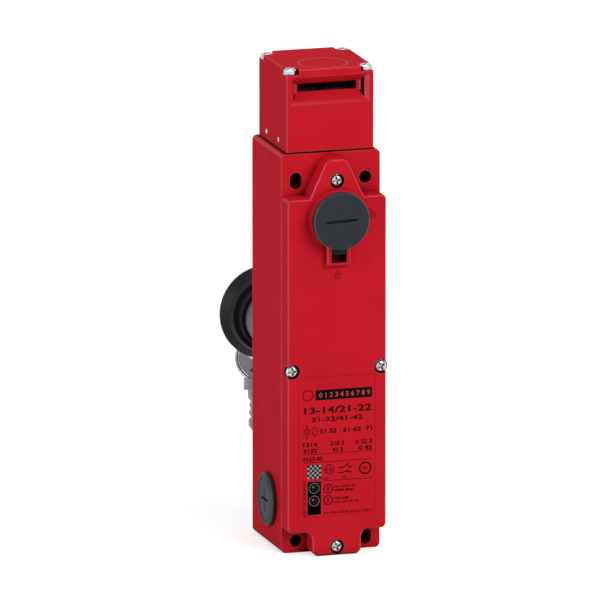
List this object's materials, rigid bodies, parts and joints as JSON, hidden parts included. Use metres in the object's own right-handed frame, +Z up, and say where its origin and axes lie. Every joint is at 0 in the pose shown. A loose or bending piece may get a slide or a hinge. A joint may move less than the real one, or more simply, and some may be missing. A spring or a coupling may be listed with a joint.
{
  "type": "tongue interlock switch",
  "caption": "Guard-locking safety switch with a tongue entry head, front release disc, cable entries and a rear mushroom release button with a key lock.",
  "frame": {"origin": "centre of the fixing-hole pattern on the rear mounting face", "axes": "+X to the right of someone who faces the cover, +Y to the rear out of the mounting face, +Z up towards the head"},
  "size_m": [0.047, 0.1462, 0.205],
  "materials": {
    "red_paint": "satin powder coat",
    "black_plastic": "fine moulded grain",
    "grey_plastic": "fine moulded grain",
    "sleeve_grey": "satin",
    "rubber": "matte",
    "nickel": "bright nickel plate",
    "steel": "machined",
    "key_metal": "satin nickel silver",
    "board": "solder mask",
    "green_lens": "clear tinted",
    "red_lens": "clear tinted"
  },
  "bodies": {
    "housing": {"base_housing": "red_paint", "cover": "red_paint", "head_housing": "red_paint", "head_top_plug": "red_paint", "indicator_window": "black_plastic", "upper_contact_block": "black_plastic", "lower_contact_blocks": "black_plastic", "solenoid_coil": "black_plastic", "release_lug": "grey_plastic", "left_plug": "grey_plastic", "right_plug": "grey_plastic", "terminal_block": "grey_plastic", "button_sleeve": "sleeve_grey", "button_nut": "sleeve_grey", "head_seal": "rubber", "left_plug_seal": "rubber", "right_plug_seal": "rubber", "cover_screws": "nickel", "head_screws": "nickel", "head_pins": "nickel", "terminal_screws": "nickel", "earth_screw": "nickel", "cam_axle": "steel", "solenoid_frame": "steel", "indicator_board": "board", "green_lens": "green_lens", "red_lens": "red_lens"},
    "cam": {"cam_wheel": "steel"},
    "plunger": {"head_plunger": "steel", "contact_carrier": "black_plastic"},
    "release": {"release_disc": "grey_plastic", "release_spindle": "steel"},
    "bolt": {"lock_bolt": "steel", "solenoid_armature": "steel"},
    "button": {"mushroom_button": "black_plastic", "button_rod": "steel"},
    "barrel": {"lock_barrel": "key_metal"},
    "key": {"key_in_lock": "key_metal"},
    "ring": {"key_ring": "steel"},
    "spare": {"spare_key": "key_metal"}
  },
  "joints": [
    {"name": "cam_turn", "type": "hinge", "parent": "housing", "child": "cam", "pos_m": [0, -0.0206, 0.1027], "axis": [-1, 0, 0], "range_deg": [0, 90], "stiffness_Nm_per_rad": 0.02},
    {"name": "plunger_slide", "type": "slide", "parent": "housing", "child": "plunger", "axis": [0, 0, -1], "range_m": [0, 0.00331]},
    {"name": "release_turn", "type": "hinge", "parent": "housing", "child": "release", "pos_m": [0, -0.051, 0.062], "axis": [0, 1, 0], "range_deg": [0, 90]},
    {"name": "bolt_slide", "type": "slide", "parent": "housing", "child": "bolt", "axis": [0, 0, -1], "range_m": [0, 0.004]},
    {"name": "button_push", "type": "slide", "parent": "housing", "child": "button", "axis": [0, -1, 0], "range_m": [0, 0.004]},
    {"name": "lock_turn", "type": "hinge", "parent": "button", "child": "barrel", "pos_m": [0, 0.0558, -0.0003], "axis": [0, 1, 0], "range_deg": [0, 90]},
    {"name": "key_draw", "type": "slide", "parent": "barrel", "child": "key", "axis": [0, 1, 0], "range_m": [0, 0.018]},
    {"name": "ring_swing", "type": "hinge", "parent": "key", "child": "ring", "pos_m": [0.00589, 0.0782, -0.0003], "axis": [0.7826, -0.6225, 0], "range_deg": [-2, 20]},
    {"name": "spare_key_swing", "type": "hinge", "parent": "ring", "child": "spare", "pos_m": [0.00589, 0.0782, -0.0208], "axis": [0.2907, 0.9568, 0], "range_deg": [-25, 25]}
  ],
  "couplings": [
    {"joint": "plunger_slide", "follows": "cam_turn", "m_per_rad": 0.0021008},
    {"joint": "release_turn", "follows": "bolt_slide", "rad_per_m": 392.7}
  ]
}
